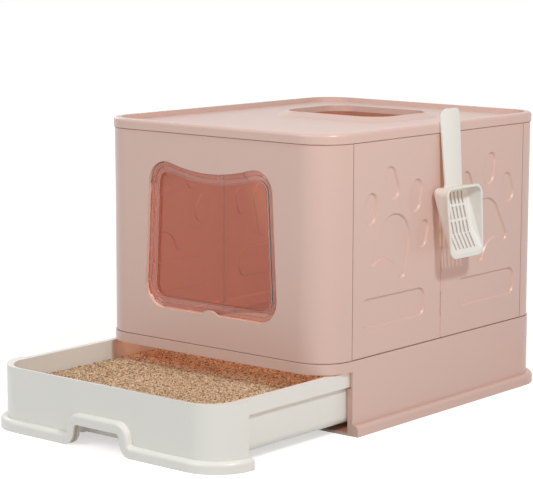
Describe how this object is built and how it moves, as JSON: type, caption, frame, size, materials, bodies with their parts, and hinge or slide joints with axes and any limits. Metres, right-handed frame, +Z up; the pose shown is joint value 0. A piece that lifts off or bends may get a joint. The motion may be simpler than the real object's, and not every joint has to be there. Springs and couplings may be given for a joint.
{
  "type": "drawer litter box",
  "caption": "Enclosed foldable cat litter box with paw-embossed walls, a swinging clear flap, a top exit, a pull-out litter drawer and a scoop hung on the lid.",
  "frame": {"origin": "on the floor, at the centre of the base's walls", "axes": "+Z up, +Y from the door towards the back, +X towards the side that the scoop hangs on"},
  "size_m": [0.43, 0.696, 0.3999],
  "materials": {
    "pink_plastic": "satin moulded",
    "white_plastic": "satin moulded",
    "clear_plastic": "clear, rose tinted",
    "hinge_steel": "drawn wire",
    "litter": "granular"
  },
  "bodies": {
    "base": {"base": "pink_plastic"},
    "drawer": {"drawer_tray": "white_plastic", "litter_bed": "litter"},
    "front_wall": {"front_wall": "pink_plastic", "right_front_hinge_rod": "hinge_steel", "left_front_hinge_rod": "hinge_steel"},
    "right_front_panel": {"right_front_panel": "pink_plastic", "right_middle_hinge_rod": "hinge_steel"},
    "right_rear_panel": {"right_rear_panel": "pink_plastic"},
    "left_front_panel": {"left_front_panel": "pink_plastic", "left_middle_hinge_rod": "hinge_steel"},
    "left_rear_panel": {"left_rear_panel": "pink_plastic"},
    "rear_wall": {"rear_wall": "pink_plastic", "right_rear_hinge_rod": "hinge_steel", "left_rear_hinge_rod": "hinge_steel"},
    "door_flap": {"door_flap": "clear_plastic"},
    "lid": {"lid": "pink_plastic"},
    "scoop": {"scoop": "white_plastic"}
  },
  "joints": [
    {"name": "drawer_slide", "type": "slide", "parent": "base", "child": "drawer", "axis": [0, -1, 0], "range_m": [-0.196, 0.17]},
    {"name": "walls_lift", "type": "slide", "parent": "base", "child": "front_wall", "axis": [0, 0, 1], "range_m": [0, 0.06]},
    {"name": "wall_fold", "type": "hinge", "parent": "front_wall", "child": "right_front_panel", "pos_m": [0.1876, -0.19, 0], "axis": [0, 0, 1], "range_deg": [0, 79]},
    {"name": "right_middle_fold", "type": "hinge", "parent": "right_front_panel", "child": "right_rear_panel", "pos_m": [0.193, 0, 0], "axis": [0, 0, 1], "range_deg": [-158, 0]},
    {"name": "right_rear_fold", "type": "hinge", "parent": "right_rear_panel", "child": "rear_wall", "pos_m": [0.1876, 0.19, 0], "axis": [0, 0, 1], "range_deg": [0, 79]},
    {"name": "left_front_fold", "type": "hinge", "parent": "front_wall", "child": "left_front_panel", "pos_m": [-0.1876, -0.19, 0], "axis": [0, 0, 1], "range_deg": [-79, 0]},
    {"name": "left_middle_fold", "type": "hinge", "parent": "left_front_panel", "child": "left_rear_panel", "pos_m": [-0.193, 0, 0], "axis": [0, 0, 1], "range_deg": [0, 158]},
    {"name": "door_swing", "type": "hinge", "parent": "front_wall", "child": "door_flap", "pos_m": [0, -0.2343, 0.3015], "axis": [-1, 0, 0], "range_deg": [-80, 0]},
    {"name": "lid_lift", "type": "slide", "parent": "front_wall", "child": "lid", "axis": [0, 0, 1], "range_m": [0, 0.08]},
    {"name": "scoop_lift", "type": "slide", "parent": "lid", "child": "scoop", "axis": [0, 0, 1], "range_m": [0, 0.06]}
  ],
  "couplings": [
    {"joint": "right_middle_fold", "follows": "wall_fold", "ratio": -2},
    {"joint": "right_rear_fold", "follows": "wall_fold", "ratio": 1},
    {"joint": "left_front_fold", "follows": "wall_fold", "ratio": -1},
    {"joint": "left_middle_fold", "follows": "wall_fold", "ratio": 2}
  ]
}
